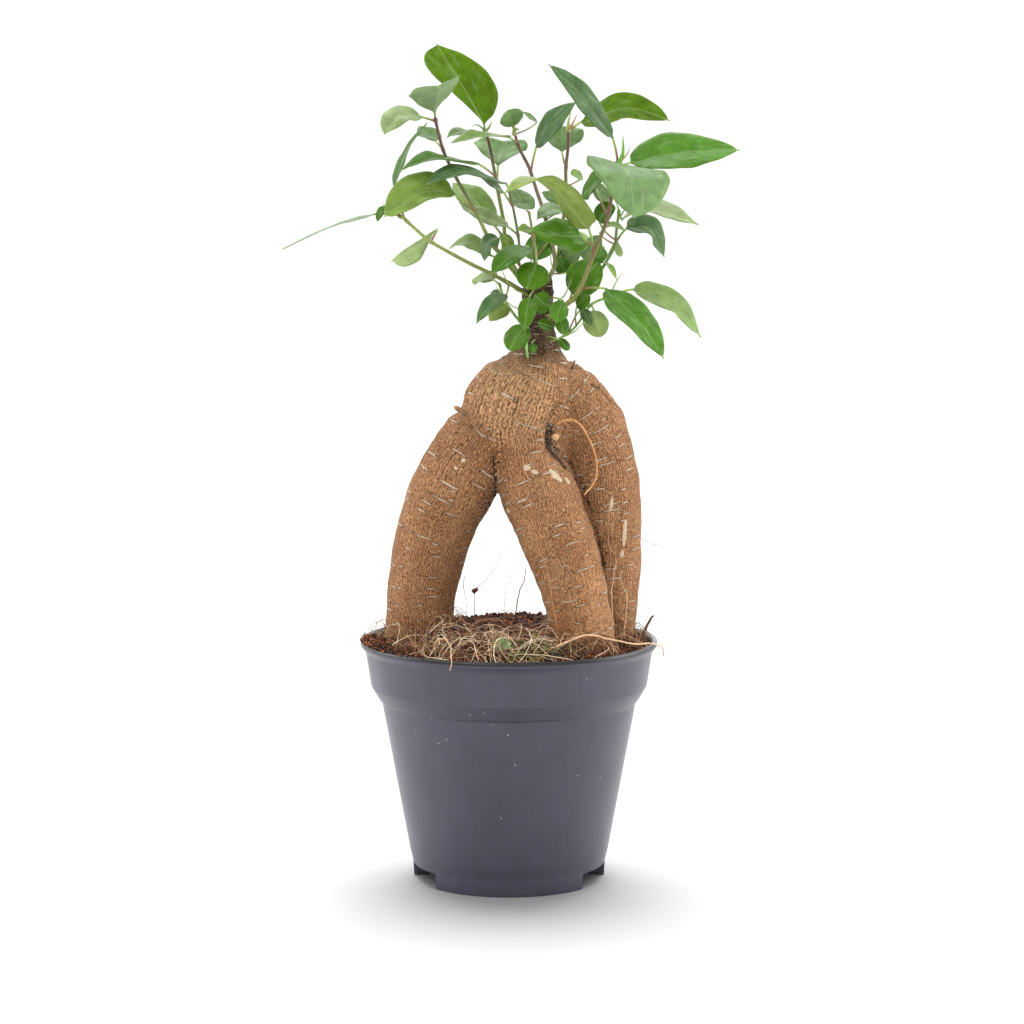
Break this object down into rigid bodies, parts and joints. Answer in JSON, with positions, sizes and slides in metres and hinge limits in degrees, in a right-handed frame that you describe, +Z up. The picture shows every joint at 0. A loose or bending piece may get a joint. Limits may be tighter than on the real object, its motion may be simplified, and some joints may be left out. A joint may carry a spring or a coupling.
{
  "type": "potted bonsai ficus",
  "caption": "Ginseng ficus bonsai: a swollen rootstock on bulging root legs with leafy shoots, in a round dark nursery pot filled with fibrous soil.",
  "frame": {"origin": "centre of the pot's foot ring, on the surface that the pot stands on", "axes": "+Z up, -Y towards the front, where the arch between the root legs is seen, +X to the right"},
  "size_m": [0.1798, 0.1222, 0.3366],
  "materials": {
    "pot_plastic": "dark slate grey injection-moulded plastic, satin",
    "coco_soil": "reddish brown coco peat and straw-like coir fibres, matte",
    "bark": "brown bark with pale lenticels and fine fissures, matte",
    "shoot_bark": "olive to reddish brown young bark, slightly glossy",
    "leaf": "glossy green upper side, paler satin underside",
    "dry_root": "tan dry root, matte"
  },
  "bodies": {
    "root": {"aerial_root": "dry_root", "leaf_a_base": "leaf", "leaf_a_lower": "leaf", "leaf_a_tip": "leaf", "leaf_a_upright": "leaf", "leaf_b_back": "leaf", "leaf_b_hanging": "leaf", "leaf_b_large": "leaf", "leaf_b_lower": "leaf", "leaf_b_side": "leaf", "leaf_b_tip": "leaf", "leaf_c_arched": "leaf", "leaf_c_broad": "leaf", "leaf_c_pale": "leaf", "leaf_c_tip": "leaf", "leaf_d_level": "leaf", "leaf_d_rising": "leaf", "leaf_d_tip": "leaf", "leaf_e_back": "leaf", "leaf_e_far": "leaf", "leaf_e_inner": "leaf", "leaf_e_tip": "leaf", "leaf_f_arched": "leaf", "leaf_f_behind": "leaf", "leaf_f_broad": "leaf", "leaf_f_centre": "leaf", "leaf_f_low": "leaf", "leaf_f_narrow": "leaf", "leaf_f_right": "leaf", "leaf_f_round": "leaf", "leaf_g_side": "leaf", "leaf_g_tip": "leaf", "leaf_h_low": "leaf", "leaf_h_tip": "leaf", "leaf_i_tip": "leaf", "leaf_j_tip": "leaf", "leaf_k_front": "leaf", "leaf_k_tip": "leaf", "leaf_l_arched": "leaf", "leaf_l_front": "leaf", "leaf_l_silver": "leaf", "leaf_neck_bright": "leaf", "leaf_neck_narrow": "leaf", "leaf_neck_round": "leaf", "loose_root_right": "dry_root", "pot": "pot_plastic", "rootstock": "bark", "soil": "coco_soil", "stem_a": "shoot_bark", "stem_b": "shoot_bark", "stem_c": "shoot_bark", "stem_d": "shoot_bark", "stem_e": "shoot_bark", "stem_f": "shoot_bark", "stem_g": "shoot_bark", "stem_h": "shoot_bark", "stem_i": "shoot_bark", "stem_j": "shoot_bark", "stem_k": "shoot_bark", "stem_l": "shoot_bark"}
  },
  "joints": []
}
